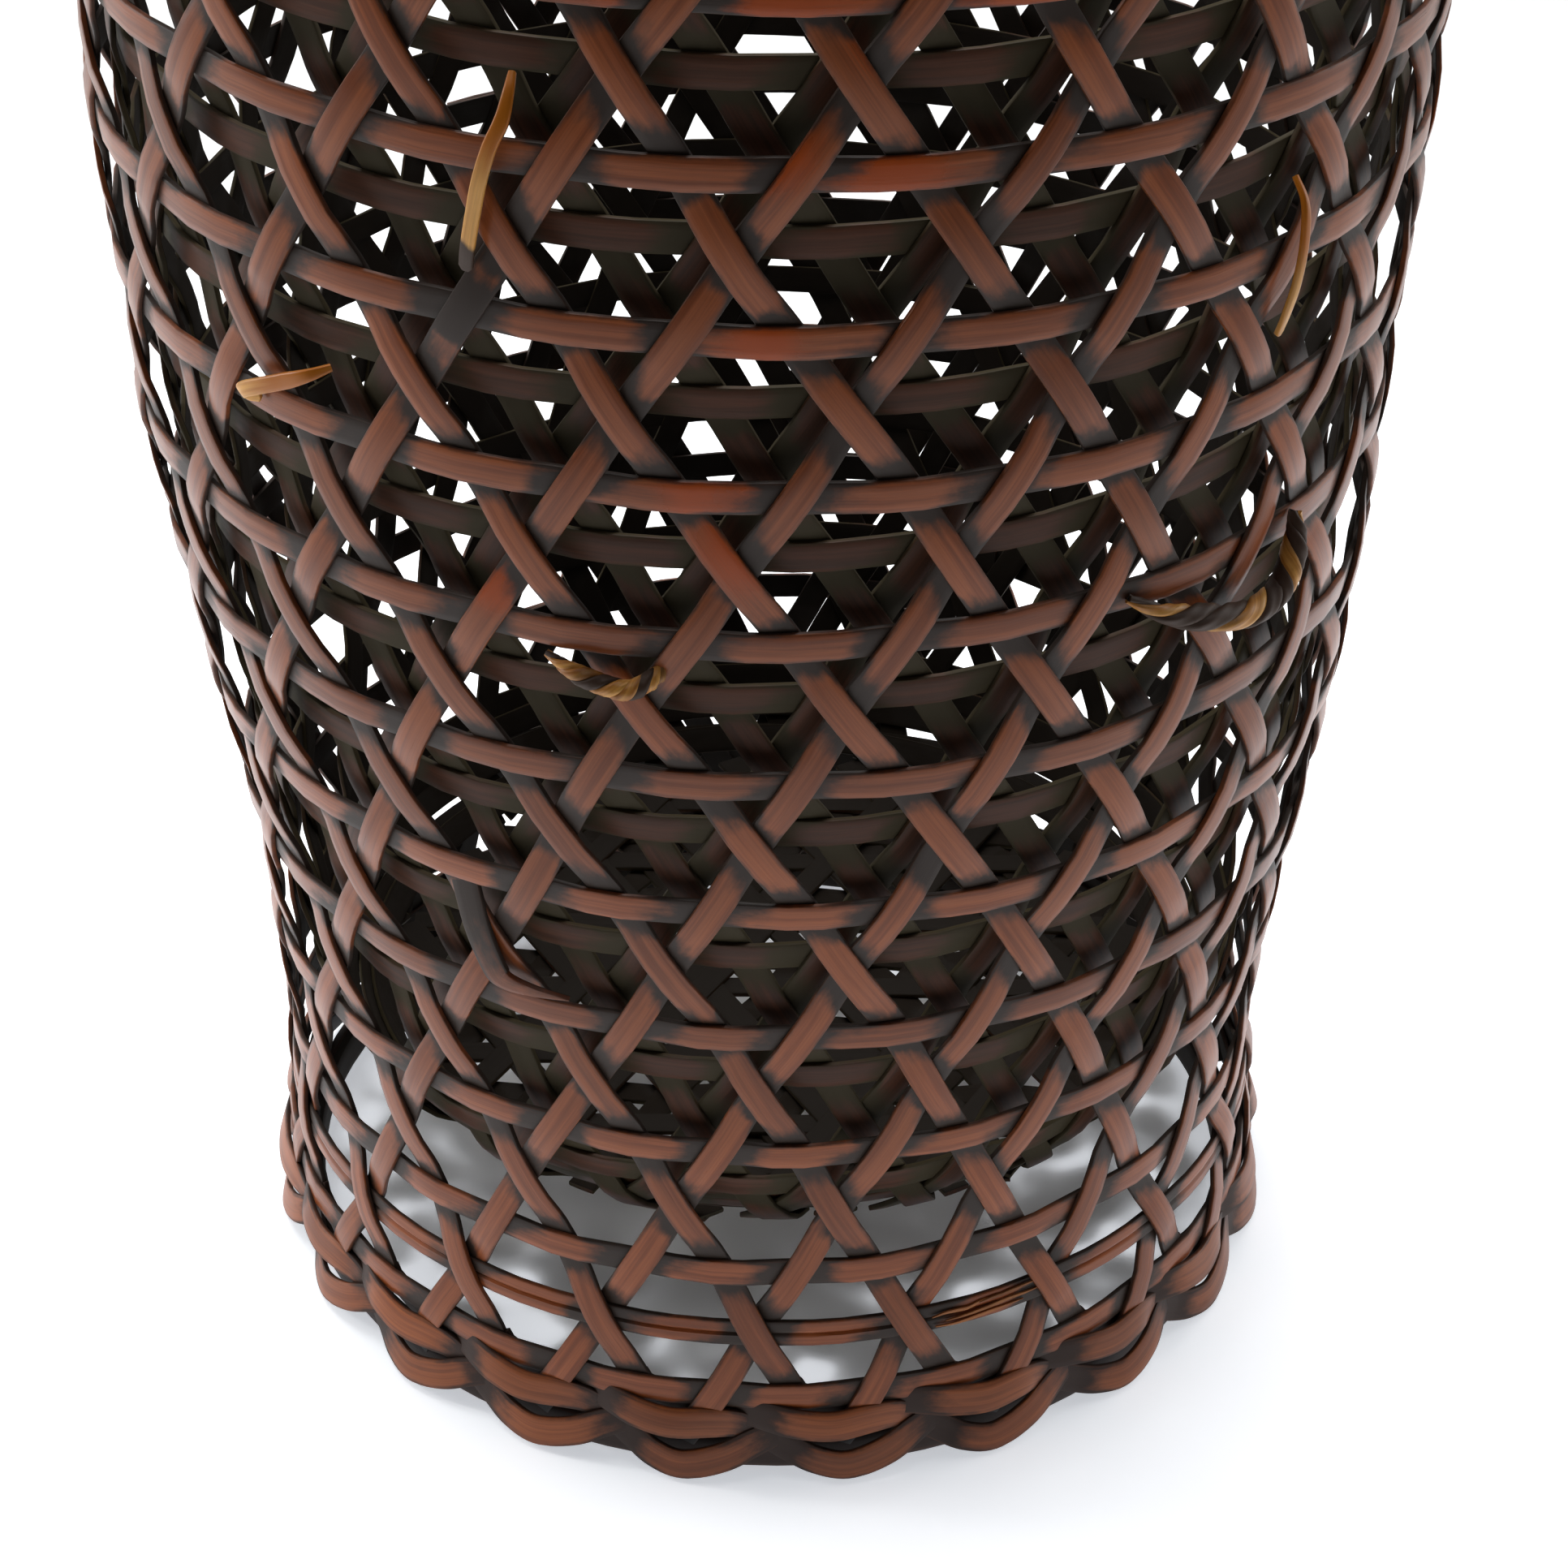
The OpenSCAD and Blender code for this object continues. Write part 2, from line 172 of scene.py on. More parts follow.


# ---- Strips of split bamboo --------------------------------------------------------------------
# The whole basket is bamboo split from the culm, planed flat, its corners scraped, and brushed with brown
# stain and varnish after weaving. A strip is black-brown wherever another lies over it, and red-brown
# between: partly stain that the brush left under the crossings, partly painted shade.
MM = 0.001
strip_width = 5.4 * MM
strip_thickness = 1.0 * MM
fibre_width = 0.32 * MM
fibre_length = 16 * MM
band_width = 1.5 * MM
band_length = 55 * MM
cloud_width = 2.4 * MM
cloud_length = 5 * MM
fibre_relief = 0.08 * MM
# How far stain and painted shade spread out of a crossing
stain_and_shade_reach = (2.2 * MM, 6.8 * MM)
crossing_slant = math.sin(math.radians(60))
own_shift = 90
width_drift = 0.022
width_drift_rings = 14
inward_shade_brown = "#211a13"
varnish_ior = 1.43


def stained_bamboo(name, light, deep, glossy, ends, raw, width=strip_width, gloss=0.24, worn=1.0,
                   shine=0.38):
    """Bamboo skin: lengthwise fibres, a darkening towards the crossings that is partly stain and partly
    painted shade, raw cut edges.

    Each strip carries its own measures: "lay" is across, along and through it in metres, and "dye" is its
    stain with painted shade, its varnish and a number of its own, which moves the pattern along.
    """
    made = bpy.data.materials.new(name)
    made.use_nodes = True
    tree = made.node_tree
    shader = tree.nodes["Principled BSDF"]
    soft = {"interpolation_type": "SMOOTHSTEP"}
    lay = add(tree, "ShaderNodeAttribute", attribute_name="lay").outputs["Vector"]
    dye = add(tree, "ShaderNodeAttribute", attribute_name="dye").outputs["Color"]
    across, along, through = add(tree, "ShaderNodeSeparateXYZ", {0: lay}).outputs
    stain_and_shade, varnish, own = add(tree, "ShaderNodeSeparateColor", {0: dye}).outputs

    # Fibres run the length of the strip, fine ones and broad bands, and the stain is cloudy
    place = add(tree, "ShaderNodeCombineXYZ", {0: across, 1: along, 2: own})
    grains = []
    for wide, long, start, detail in ((fibre_width, fibre_length, 0, 4), (band_width, band_length, 7.3, 3),
                                      (cloud_width, cloud_length, 3.1, 4)):
        drawn = add(tree, "ShaderNodeMapping", {"Vector": place, "Location": (0, 0, start),
                                                "Scale": (1 / wide, 1 / long, own_shift)})
        grains.append(add(tree, "ShaderNodeTexNoise", {"Vector": drawn, "Scale": 1.0, "Detail": detail,
                                                       "Roughness": 0.6}))
    fine, band, cloud = grains
    deeper = add(tree, "ShaderNodeMapRange", {0: band, 1: 0.36, 2: 0.66}, **soft)
    skin = add(tree, "ShaderNodeMix", {0: deeper, 6: colour(light), 7: colour(deep)},
               data_type="RGBA").outputs[2]

    # Each strip is lighter or darker by its own number, and the fibres draw lines along it
    tone = add(tree, "ShaderNodeMath", {0: own, 1: 0.30, 2: 0.84}, operation="MULTIPLY_ADD")
    lines = add(tree, "ShaderNodeMapRange", {0: fine, 1: 0.30, 2: 0.72, 3: 0.86, 4: 1.10}, **soft)
    tone = add(tree, "ShaderNodeMath", {0: tone, 1: lines}, operation="MULTIPLY")
    skin = add(tree, "ShaderNodeVectorMath", {0: skin, 1: tone}, operation="MULTIPLY")

    # Pooled varnish turns the skin a clear orange-brown
    ragged = add(tree, "ShaderNodeMath", {0: fine, 1: 0.7, 2: -0.35}, operation="MULTIPLY_ADD")
    ragged = add(tree, "ShaderNodeMath", {0: varnish, 1: ragged}, operation="ADD")
    ragged = add(tree, "ShaderNodeMapRange", {0: ragged, 1: 0.2, 2: 0.85}, **soft)
    pooled = add(tree, "ShaderNodeMapRange", {0: varnish, 1: 0.02, 2: 0.2}, **soft)
    pooled = add(tree, "ShaderNodeMath", {0: ragged, 1: pooled}, operation="MULTIPLY")
    skin = add(tree, "ShaderNodeMix", {0: pooled, 6: skin, 7: colour(glossy)}, data_type="RGBA").outputs[2]

    # Dark under the crossings, with a cloudy edge, and a little along the strip's long edges: partly stain,
    # partly painted shade
    edge = add(tree, "ShaderNodeMath", {0: across}, operation="ABSOLUTE")
    edge = add(tree, "ShaderNodeMath", {0: edge, 1: width / 2}, operation="DIVIDE")
    fringe = add(tree, "ShaderNodeMapRange", {0: edge, 1: 0.72, 2: 0.98, 3: -0.35, 4: -0.02}, **soft)
    cloudy = add(tree, "ShaderNodeMath", {0: cloud, 1: 0.7, 2: fringe}, operation="MULTIPLY_ADD")
    cloudy = add(tree, "ShaderNodeMath", {0: stain_and_shade, 1: cloudy}, operation="ADD")
    dark = add(tree, "ShaderNodeMapRange", {0: cloudy, 1: 0.08, 2: 0.62}, **soft)
    skin = add(tree, "ShaderNodeMix", {0: dark, 6: skin, 7: colour(ends)}, data_type="RGBA").outputs[2]

    # The scraped corner lets the raw bamboo through here and there
    corner = add(tree, "ShaderNodeMapRange", {0: edge, 1: 0.90, 2: 0.965}, **soft)
    upper = add(tree, "ShaderNodeMapRange", {0: through, 1: 0.12 * MM, 2: 0.3 * MM}, **soft)
    scraped = add(tree, "ShaderNodeMapRange", {0: band, 1: 0.46, 2: 0.62, 3: 0.0, 4: 0.6 * worn}, **soft)
    clear_of_stain_and_shade = add(tree, "ShaderNodeMath", {0: dark, 1: -0.85, 2: 1.0}, operation="MULTIPLY_ADD")
    for share in (upper, scraped, clear_of_stain_and_shade):
        corner = add(tree, "ShaderNodeMath", {0: corner, 1: share}, operation="MULTIPLY")
    skin = add(tree, "ShaderNodeMix", {0: corner, 6: skin, 7: colour(raw)}, data_type="RGBA").outputs[2]

    # The cut edge is dark, and the inward face, never varnished, is rough, and painted nearly black as
    # shade for the inside of the basket
    side = add(tree, "ShaderNodeMapRange", {0: edge, 1: 0.975, 2: 1.0}, **soft)
    below = add(tree, "ShaderNodeMapRange", {0: through, 1: 0.32 * MM, 2: 0.05 * MM}, **soft)
    cut = add(tree, "ShaderNodeMath", {0: side, 1: below}, operation="MULTIPLY")
    half_cut = add(tree, "ShaderNodeMath", {0: cut, 1: 0.75}, operation="MULTIPLY")
    skin = add(tree, "ShaderNodeMix", {0: half_cut, 6: skin, 7: colour(ends)}, data_type="RGBA").outputs[2]
    inside = add(tree, "ShaderNodeMapRange", {0: through, 1: -0.25 * MM, 2: -0.42 * MM}, **soft)
    skin = add(tree, "ShaderNodeMix", {0: inside, 6: skin, 7: colour(inward_shade_brown)},
               data_type="RGBA").outputs[2]
    tree.links.new(skin, shader.inputs["Base Color"])

    # Satin varnish, thinner and duller on the dark parts, none on the cut edge and inward face
    bare = add(tree, "ShaderNodeMath", {0: cut, 1: inside}, operation="MAXIMUM")
    rough = add(tree, "ShaderNodeMath", {0: dark, 1: 0.2, 2: gloss}, operation="MULTIPLY_ADD")
    rough = add(tree, "ShaderNodeMath", {0: pooled, 1: -0.06, 2: rough}, operation="MULTIPLY_ADD")
    rough = add(tree, "ShaderNodeMath", {0: fine, 1: 0.12, 2: rough}, operation="MULTIPLY_ADD")
    rough = add(tree, "ShaderNodeMath", {0: bare, 1: 0.3, 2: rough}, operation="MULTIPLY_ADD")
    tree.links.new(rough.outputs[0], shader.inputs["Roughness"])
    shader.inputs["Specular IOR Level"].default_value = shine
    shader.inputs["IOR"].default_value = varnish_ior
    height = add(tree, "ShaderNodeMath", {0: band, 1: 0.8, 2: fine}, operation="MULTIPLY_ADD")
    bump = add(tree, "ShaderNodeBump", {"Strength": 0.25, "Distance": fibre_relief, "Height": height})
    tree.links.new(bump.outputs[0], shader.inputs["Normal"])
    return made


def smooth(x, xs, ys):
    """A smooth curve through the points, straight beyond its ends."""
    xs = np.asarray(xs, float)
    ys = np.asarray(ys, float)
    slopes = np.gradient(ys, xs)
    k = np.clip(np.searchsorted(xs, x) - 1, 0, len(xs) - 2)
    step = xs[k + 1] - xs[k]
    u = np.clip((x - xs[k]) / step, 0, 1)
    curve = ((1 + 2 * u) * (1 - u) ** 2 * ys[k] + u ** 2 * (3 - 2 * u) * ys[k + 1]
             + u * (1 - u) ** 2 * step * slopes[k] + u ** 2 * (u - 1) * step * slopes[k + 1])
    past = x - np.clip(x, xs[0], xs[-1])
    return curve + past * np.where(past < 0, slopes[0], slopes[-1])


def ease(share):
    """Turns an even rise from 0 to 1 into one with flat ends."""
    return share * share * (3 - 2 * share)


def wander(rng, count, reach, size):
    """The unevenness of hand work: a smooth course that turns about every reach rings."""
    knots = max(int(count / reach) + 3, 4)
    return smooth(np.linspace(0, knots - 1, count), np.arange(knots), rng.normal(0, 1, knots) * size)


blanks = {}


def blank_strip(rings, width=strip_width, thickness=strip_thickness, corner=0.24 * MM, crown=0.1 * MM,
                cuts=3, groove=0.0):
    """A straight strip with scraped corners and a slightly rounded face, divided into rings."""
    key = (rings, width, thickness, corner, crown, cuts, groove)
    if key in blanks:
        return blanks[key]
    bpy.ops.object.select_all(action="DESELECT")
    bpy.ops.mesh.primitive_cube_add(size=1, location=(0, 0.5, 0))
    bar = bpy.context.object
    bar.scale = (width, 1, thickness)
    bpy.ops.object.transform_apply(location=True, rotation=False, scale=True)
    steps = (
        (lambda a, b: abs(a.y - b.y) > 0.5, bpy.ops.mesh.bevel,
         {"offset": corner, "segments": 2, "affect": "EDGES"}),
        (lambda a, b: abs(a.x - b.x) > width / 2, bpy.ops.mesh.subdivide, {"number_cuts": cuts}),
        (lambda a, b: abs(a.y - b.y) > 0.5, bpy.ops.mesh.subdivide, {"number_cuts": rings - 2}),
    )
    for wanted, work, settings in steps:
        bpy.ops.object.mode_set(mode="EDIT")
        bpy.ops.mesh.select_mode(type="EDGE")
        bpy.ops.mesh.select_all(action="DESELECT")
        bpy.ops.object.mode_set(mode="OBJECT")
        points = bar.data.vertices
        for edge in bar.data.edges:
            edge.select = wanted(*(points[v].co for v in edge.vertices))
        bpy.ops.object.mode_set(mode="EDIT")
        work(**settings)
        bpy.ops.object.mode_set(mode="OBJECT")
    for point in bar.data.vertices:
        if point.co.z > thickness / 2 - corner / 4:
            point.co.z += crown * (1 - (2 * point.co.x / width) ** 2)
            point.co.z -= groove if abs(point.co.x) < 0.05 * width else 0
    blanks[key] = bar.data.copy()
    bpy.data.objects.remove(bar)
    return blanks[key]


def lay_strip(blank, middle, out, rng, covers=(), pools=(), spots=(), spread=1.0, narrow=1.0, thin=1.0,
              stain_and_shade_given=0.0):
    """A copy of a blank strip, laid along its middle line, facing out.

    covers lists the rings where another strip lies over it, and spread says how far stain and painted shade
    reach out of them. pools are the places where varnish has pooled, and spots where stain has: (x, y, z,
    reach). narrow and thin taper it, and dull darkens it with stain and painted shade, ring by ring or all
    over.
    """
    mesh = blank.copy()
    count = len(mesh.vertices)
    flat = np.empty(count * 3)
    mesh.vertices.foreach_get("co", flat)
    x, y, z = flat.reshape(-1, 3).T
    rings = len(middle)
    ring = np.clip(np.rint(y * (rings - 1)).astype(int), 0, rings - 1)
    ahead = np.gradient(middle, axis=0)
    ahead /= np.linalg.norm(ahead, axis=1)[:, None]
    side = np.cross(ahead, out)
    side /= np.linalg.norm(side, axis=1)[:, None]
    up = np.cross(side, ahead)
    across = x * ((1 + wander(rng, rings, width_drift_rings, width_drift)) * narrow)[ring]
    through = z * (thin * np.ones(rings))[ring]
    place = middle[ring] + side[ring] * across[:, None] + up[ring] * through[:, None]
    place[:, 2] = np.maximum(place[:, 2], 0)
    length = np.concatenate([[0], np.cumsum(np.linalg.norm(np.diff(middle, axis=0), axis=1))])
    along = length[ring]
    stain_and_shade = (stain_and_shade_given * np.ones(rings))[ring]
    # Stain and painted shade spread out of each crossing
    for at in covers:
        d = (along - np.interp(at, np.arange(rings), length)) * crossing_slant + across / 2
        reach = strip_width / 2 + spread * rng.uniform(*stain_and_shade_reach, 2)
        reach = np.where(d < 0, reach[0], reach[1])
        near = np.clip((reach - np.abs(d)) / (reach - strip_width / 2 - 0.3 * MM), 0, 1)
        stain_and_shade = np.maximum(stain_and_shade, near * rng.uniform(0.85, 1.0))
    for px, py, pz, reach in spots:
        d = np.linalg.norm(place - np.array([px, py, pz]), axis=1)
        stain_and_shade = np.maximum(stain_and_shade, np.clip(2.5 - 2 * d / reach, 0, 0.85))
    varnish = np.zeros(count)
    for px, py, pz, reach in pools:
        d = np.linalg.norm(place - np.array([px, py, pz]), axis=1)
        varnish = np.maximum(varnish, np.clip(1.15 - d / reach, 0, 1))
    mesh.vertices.foreach_set("co", place.ravel())
    lay = mesh.attributes.new("lay", "FLOAT_VECTOR", "POINT")
    lay.data.foreach_set("vector", np.stack([across, along, z], -1).ravel())
    dye = mesh.attributes.new("dye", "FLOAT_COLOR", "POINT")
    own = np.full(count, rng.uniform(0, 1))
    dye.data.foreach_set("color", np.stack([stain_and_shade, varnish, own, np.ones(count)], -1).ravel())
    piece = bpy.data.objects.new("strip", mesh)
    bpy.context.scene.collection.objects.link(piece)
    return piece


def gather(strips, name, material, nodes):
    """Joins strips into one piece, which stands for CAD nodes if any are named."""
    bpy.ops.object.select_all(action="DESELECT")
    for strip in strips:
        strip.select_set(True)
    bpy.context.view_layer.objects.active = strips[0]
    if len(strips) > 1:
        bpy.ops.object.join()
    piece = bpy.context.view_layer.objects.active
    piece.name = name
    piece.data.name = name
    piece.data.materials.clear()
    piece.data.materials.append(material)
    bpy.ops.object.shade_smooth_by_angle(angle=math.radians(40))
    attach(piece, "root")
    if nodes:
        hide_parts(*nodes)


# ---- Outer strands -----------------------------------------------------------------------------
# 21 strips lean each way from foot to rim, the right ones over the hoops and under the left ones,
# the left ones over the right ones and under the hoops. Each bends just enough to pass its
# neighbours. Satin red-brown, with clear orange where varnish pooled.
strand_count = 21
pitch = math.tau / strand_count
rings_per_row = 16
strand_rings = 188
right_start = -0.42
left_start = -0.02
last_gap = 0.58
hoop_names = sorted(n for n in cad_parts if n.startswith("outer_hoop_"))
inner_hoop_names = sorted(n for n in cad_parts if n.startswith("inner_hoop_"))
hoop_rise = 0.72 * MM
cross_rise = 0.58 * MM
hoop_give = 0.36 * MM
split_give = 0.5 * MM
split_reach_rows = 0.18
strand_drift = 0.0042
tuck_depth = 0.9 * MM
outer_bamboo = stained_bamboo("stained bamboo, outer wall", light="#914e29", deep="#763a19",
                              glossy="#a34409", ends="#2e2119", raw="#94501f")


def hoop_places(names):
    """Height and radius of the middle of each hoop."""
    boxes = [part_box(n) for n in names]
    heights = np.array([(low.z + high.z) / 2 for low, high in boxes])
    reach = np.array([high.x for low, high in boxes])
    lean = np.abs(np.gradient(reach, heights))
    return heights, reach - strip_thickness / 2 - lean * strip_width / 2


outer_heights, outer_radii = hoop_places(hoop_names)
rows = np.arange(len(outer_heights))


def outer_radius(height):
    """The radius of the outer wall's middle."""
    return smooth(height, outer_heights, outer_radii)


def on_wall(angle, height, stand_off, radius):
    """Points at a distance from a wall's middle, and the way that the wall faces there."""
    tilt = np.arctan((radius(height + MM) - radius(height - MM)) / (2 * MM))
    out = np.stack([np.cos(tilt) * np.sin(angle), -np.cos(tilt) * np.cos(angle), -np.sin(tilt)], -1)
    # The upper wall leans a little to the left and stands higher there
    lean = MM * np.interp(height, (0.06, 0.1, 0.145, 0.185, 0.25, 0.29, 0.335),
                          (0, 0.8, 0, -2.2, -2.6, -1.8, 0))
    lift = MM * np.interp(height, (0.2, 0.27, 0.31, 0.335), (0, 1.8, 1.8, 0))
    r = radius(height)
    middle = np.stack([r * np.sin(angle) + lean, -r * np.cos(angle), height - lift * np.sin(angle)], -1)
    return middle + out * np.asarray(stand_off)[..., None], out


def flat_wave(phase):
    """A wave between 1 and -1 that is flat at both, as a strip lies flat where it crosses."""
    return (9 * np.cos(phase) - np.cos(3 * phase)) / 8


def pool(angle, height, reach):
    """A place on the wall where varnish has pooled: degrees, then millimetres."""
    a = math.radians(angle)
    r = float(outer_radius(np.array([height * MM]))[0])
    return (r * math.sin(a), -r * math.cos(a), height * MM, reach * MM)


elsewhere = np.random.default_rng(40)
scattered = [[pool(elsewhere.uniform(60, 300), elsewhere.uniform(60, 315), elsewhere.uniform(6, 13))
              for _ in range(8)] for _ in range(3)]
outer_wall = {
    "turn": math.radians(2.8),
    "sway": lambda angle: 0 * angle,
    "radius": outer_radius,
    "height": lambda row: smooth(row, rows, outer_heights),
    "spread": 1.0,
    "pools": {
        1: [pool(0, 271, 9), pool(11.3, 258, 10), pool(-22.2, 194, 8), pool(19, 285, 9)] + scattered[0],
        -1: [pool(-2, 206, 12), pool(-6, 245, 9), pool(18.2, 269, 10), pool(8, 289, 9)] + scattered[1],
        0: [pool(-4.9, 215, 11), pool(-3.2, 296, 30), pool(16, 296, 26), pool(8, 267.6, 13),
            pool(-1, 241, 9)] + scattered[2],
    },
    "spots": {1: [pool(-23.8, 243, 7), pool(16.8, 143, 8)], -1: [], 0: []},
}


def weave_strand(hand, index, wall, row, blank, rng):
    """One strand of a wall: hand is 1 if it leans right as it rises, -1 if left."""
    start = index + (0 if hand > 0 else 0.5)
    angle = wall["turn"] + pitch * (start + hand * (row - 1) / 2)
    angle = angle + wall["sway"](angle) + wander(rng, len(row), rings_per_row * 1.2, strand_drift)
    wave = flat_wave(math.tau * row)
    off = hand * ((hoop_rise - cross_rise) / 2 + (hoop_rise + cross_rise) / 2 * wave)
    if wall is outer_wall:
        # The split hoop between the two lowest rows lies between the strands where they cross
        off = off - hand * split_give * np.exp(-((row - 0.5) / split_reach_rows) ** 2)
        if hand > 0:
            # Below the lowest row the right strands' ends turn in behind the plait
            off = off - tuck_depth * (np.clip(-row, 0, 1) / -right_start) ** 2
    middle, out = on_wall(angle, wall["height"](row), off, wall["radius"])
    # The rings where another strip lies over this one
    under = np.arange(-1, len(rows) + 1) + (0.5 if hand > 0 else 0.0)
    covers = (under - row[0]) / (row[-1] - row[0]) * (len(row) - 1)
    covers = covers[(covers > -6) & (covers < len(row) + 6)]
    return lay_strip(blank, middle, out, rng, covers, wall["pools"][hand], wall["spots"][hand],
                     wall["spread"])


for hand, side_name, first_row in ((1, "right", right_start), (-1, "left", left_start)):
    row = np.linspace(first_row, len(rows) - last_gap, strand_rings)
    strips = [weave_strand(hand, index, outer_wall, row, blank_strip(strand_rings),
                           np.random.default_rng(1000 + 100 * hand + index))
              for index in range(strand_count)]
    gather(strips, f"outer_strips_{side_name}", outer_bamboo, [f"outer_{side_name}_strands"])


# ---- Outer hoops -------------------------------------------------------------------------------
# A hoop is woven in at each row, over the left strands and under the right ones. It is one strip
# bent round, its ends lapped at the back.
hoop_lap = 0.16
lap_slope = 0.12
hoop_drift = 0.28 * MM
hoop_drift_rings = 26
hoop_rings = int(strand_count * rings_per_row * (1 + hoop_lap / math.tau)) + 1


def weave_hoop(row, wall, blank, rng, hand=1, give=hoop_give):
    """One hoop of a wall; it lies under the strands of the given hand."""
    start = math.pi + rng.uniform(-0.6, 0.6)
    angle = np.linspace(start, start + math.tau + hoop_lap, hoop_rings)
    turned = angle - start
    height = wall["height"](np.full(hoop_rings, float(row)))
    height = height + wander(rng, hoop_rings, hoop_drift_rings, hoop_drift) * np.sin(turned / 2) ** 2
    crossing = wall["turn"] + pitch * ((row - 1) / 2 * hand + (0 if hand > 0 else 0.5))
    crossing = crossing + wall["sway"](angle)
    off = -give * flat_wave((angle - crossing) / pitch * math.tau)
    rise = np.clip((turned - math.tau + lap_slope) / lap_slope, 0, 1)
    fall = np.clip(1 - (turned - hoop_lap) / lap_slope, 0, 1)
    off = off + strip_thickness * 0.53 * (ease(rise) - ease(fall))
    middle, out = on_wall(angle, height, off, wall["radius"])
    phase = (angle - crossing) / pitch
    covers = np.interp(np.arange(math.ceil(phase[0]), phase[-1]), phase, np.arange(hoop_rings))
    return lay_strip(blank, middle, out, rng, covers, wall["pools"][0], wall["spots"][0],
                     wall["spread"])


for row, name in enumerate(hoop_names):
    hoop = weave_hoop(row, outer_wall, blank_strip(hoop_rings), np.random.default_rng(2000 + row))
    gather([hoop], f"outer_band_{row + 1:02d}", outer_bamboo, [name])


# ---- Split hoop above the foot -----------------------------------------------------------------
# An extra hoop between the two lowest rows, of a strip that has split lengthwise, so that a
# groove runs round it. It lies over the right strands and under the left ones.
groove_depth = 0.4 * MM
split_blank = blank_strip(hoop_rings, cuts=9, groove=groove_depth)
split_hoop = weave_hoop(0.5, outer_wall, split_blank, np.random.default_rng(2050), hand=-1, give=0.1 * MM)
gather([split_hoop], "split_band", outer_bamboo, ["grooved_hoop"])

# On the right its skin has torn away in slivers. Torn bamboo is matt, and pale where no stain took
raw_bamboo = stained_bamboo("torn bamboo", light="#b0713c", deep="#844822", glossy="#8a4a1c",
                            ends="#4a2a18", raw="#c08850", gloss=0.5)
sliver_rings = 30
sliver_blank = blank_strip(sliver_rings, 0.7 * MM, 0.4 * MM, 0.1 * MM, 0)
# Degrees at both ends, then millimetres above the hoop's middle at both ends
sliver_places = ((18.4, 29.0, -1.9, -1.2), (19.6, 32.0, -0.7, 0.3), (18.0, 25.0, 0.6, 1.3),
                 (23.5, 31.0, 1.2, 2.2))
slivers = []
for k, (start, end, low, high) in enumerate(sliver_places):
    angle = np.radians(np.linspace(start, end, sliver_rings))
    rng = np.random.default_rng(2060 + k)
    height = float(outer_wall["height"](0.5)) + np.linspace(low, high, sliver_rings) * MM
    height = height + wander(rng, sliver_rings, 8, 0.15 * MM)
    middle, out = on_wall(angle, height, np.linspace(0.95, 0.8, sliver_rings) * MM, outer_radius)
    slivers.append(lay_strip(sliver_blank, middle, out, rng, stain_and_shade_given=0.25 * (k % 2),
                             narrow=np.sin(np.linspace(0.25, 3.0, sliver_rings))))
gather(slivers, "torn_slivers", raw_bamboo, [])


# ---- Loose strip end ---------------------------------------------------------------------------
# Low on the left a strip ends in a dark point, folded over sharply where it was tucked back.
loose_rings = 60
# Degrees, height and stand-off in millimetres
loose_path = ((-29.9, 129.5, -0.7), (-28.4, 120.5, 1.6), (-27.0, 113.6, 2.5), (-25.9, 111.3, 2.7),
              (-23.2, 110.2, 2.3), (-19.8, 109.0, 1.0))
knot = np.linspace(0, 5, loose_rings)
angle, height, off = (smooth(knot, np.arange(6), values) for values in zip(*loose_path))
middle, out = on_wall(np.radians(angle), height * MM, off * MM, outer_radius)
loose_end = lay_strip(blank_strip(loose_rings), middle, out, np.random.default_rng(2070),
                      narrow=np.interp(knot, (0, 2.6, 5), (1.05, 0.95, 0.05)),
                      stain_and_shade_given=np.interp(knot, (0, 1.5, 3, 5), (0.8, 0.45, 0.3, 0.35)))
gather([loose_end], "loose_strip_end", outer_bamboo, [])


# ---- Inner basket ------------------------------------------------------------------------------
# A second basket of the same strips, woven the same way, stands inside the first. Its strips are darker and
# duller than the outer wall's, olive-black, partly painted shade of the inside, and hardly shine.
shaded_inner_bamboo = stained_bamboo("stained bamboo, inner wall", light="#55311f", deep="#432717",
                              glossy="#4a220f", ends="#3e3624", raw="#4a2f1c", gloss=0.42, worn=0.4,
                              shine=0.28)
inner_strand_rings = 160
lining_rings = 220
inner_heights, inner_radii = hoop_places(inner_hoop_names)
first_inner_row = len(outer_heights) - len(inner_heights)
base_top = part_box("base_strips_3")[1].z
base_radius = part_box("base_strips_2")[1].x
turn_in_rows = 0.85
rise = inner_heights[0] - base_top
corner_heights = np.concatenate([base_top + rise * np.array([0, 0.27, 0.6]), inner_heights])
inset = inner_radii[0] - base_radius
corner_radii = np.concatenate([base_radius + inset * np.array([0, 0.47, 0.82]), inner_radii])
# Degrees that this wall is turned further at the back than in front
back_sway = 7.0


def inner_height(row):
    """The height of a row of the inner wall; below its lowest hoop it turns in to the bottom."""
    turned = base_top + rise * (1 - (first_inner_row - row) / turn_in_rows)
    return np.where(row < first_inner_row, turned, smooth(row, rows[first_inner_row:], inner_heights))


